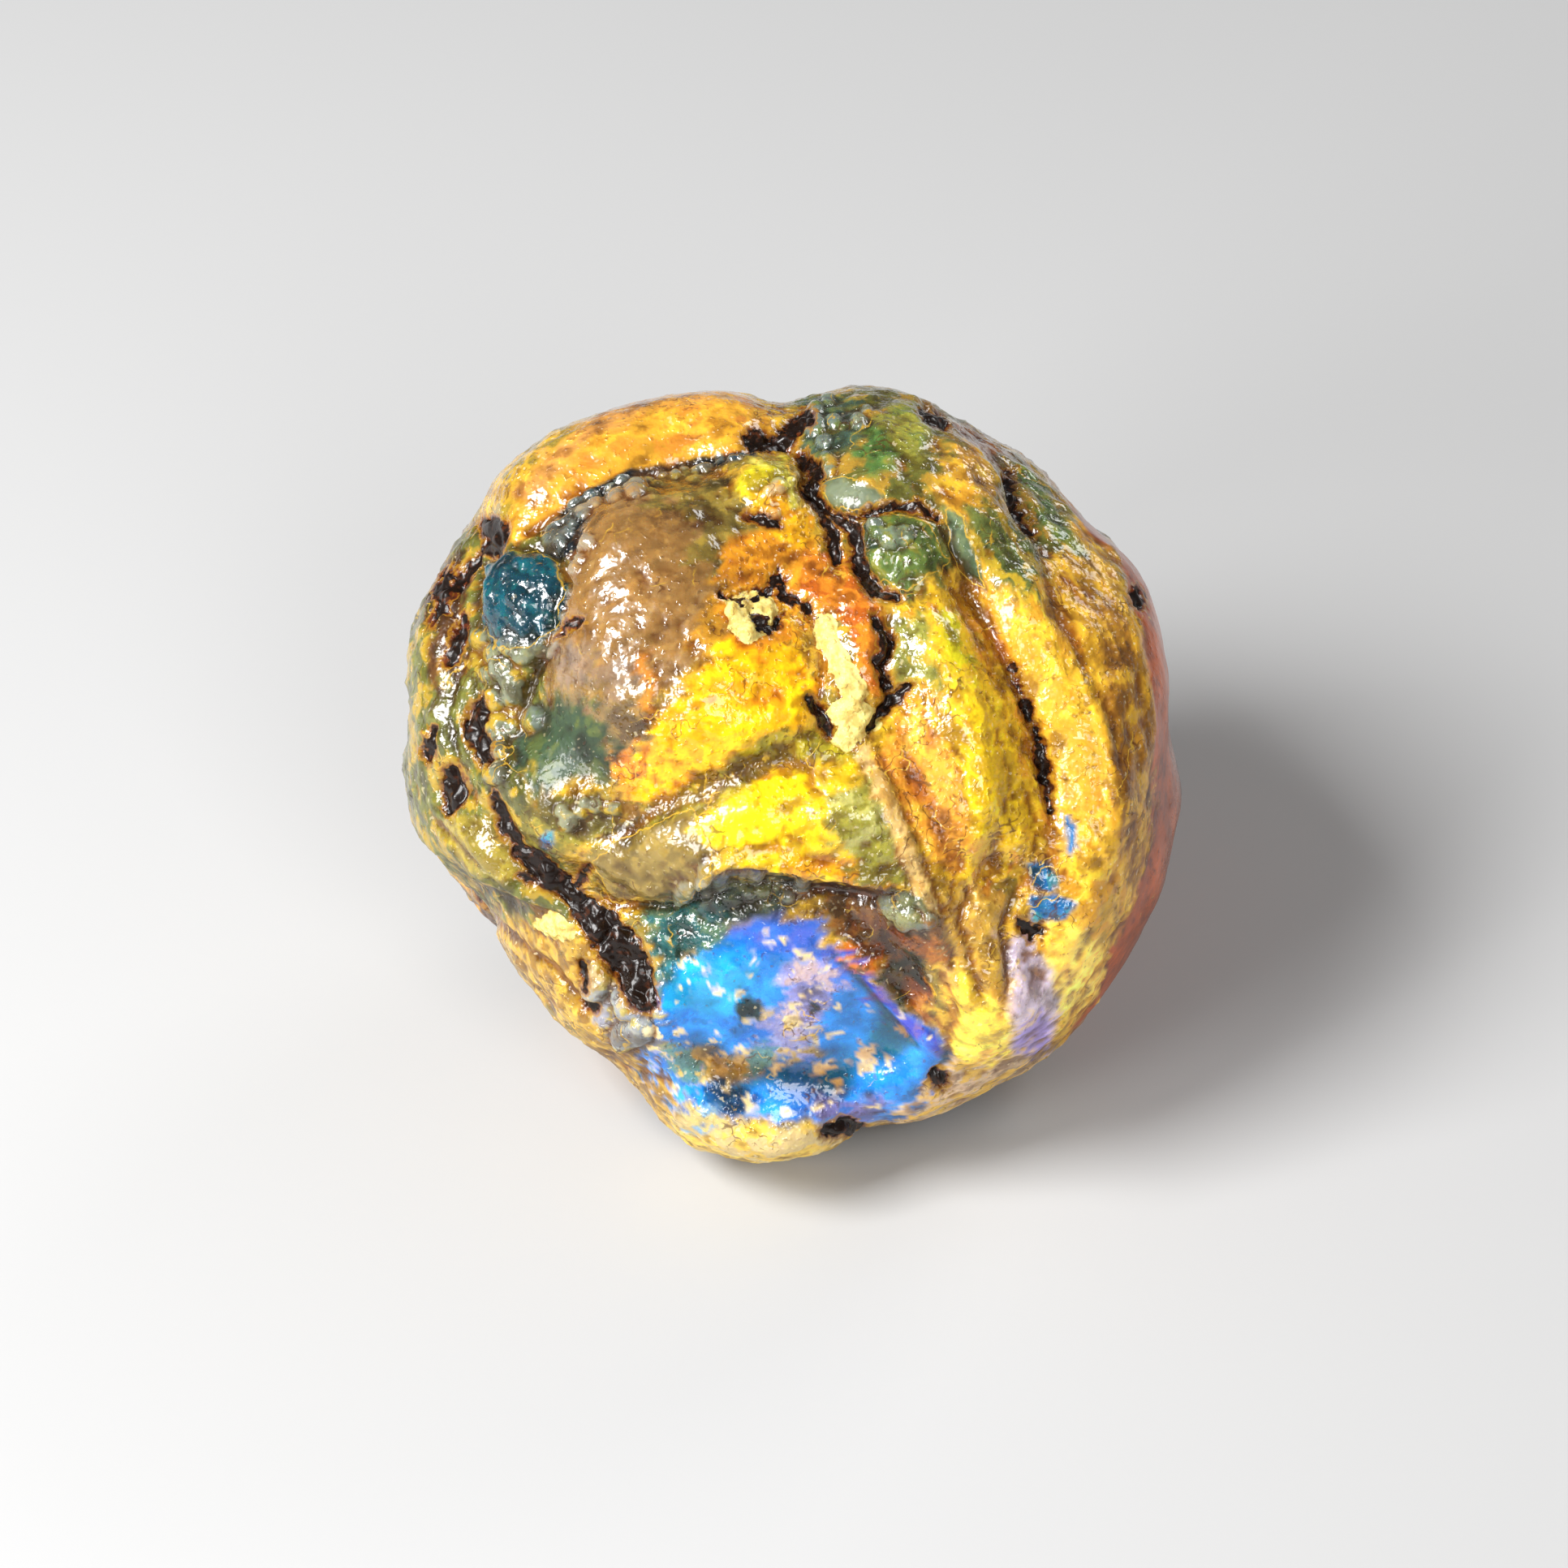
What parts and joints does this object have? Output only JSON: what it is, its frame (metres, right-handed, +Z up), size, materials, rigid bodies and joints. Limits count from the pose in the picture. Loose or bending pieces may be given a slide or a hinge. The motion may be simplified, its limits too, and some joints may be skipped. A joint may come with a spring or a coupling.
{
  "type": "rough blue amber nodule",
  "caption": "Rough nodule of golden amber with a domed, folded skin, dark bark crevices and a ledge over a broken blue face; it lies on its flattest side.",
  "frame": {"origin": "middle of the nodule's box, on the surface that it rests on", "axes": "+Z up from the resting patch; the shown face looks towards -Y and up; +X to the right as seen from the front"},
  "size_m": [0.0498, 0.044, 0.042],
  "materials": {
    "amber": "gloss"
  },
  "bodies": {
    "root": {"amber_nodule": "amber"}
  },
  "joints": []
}
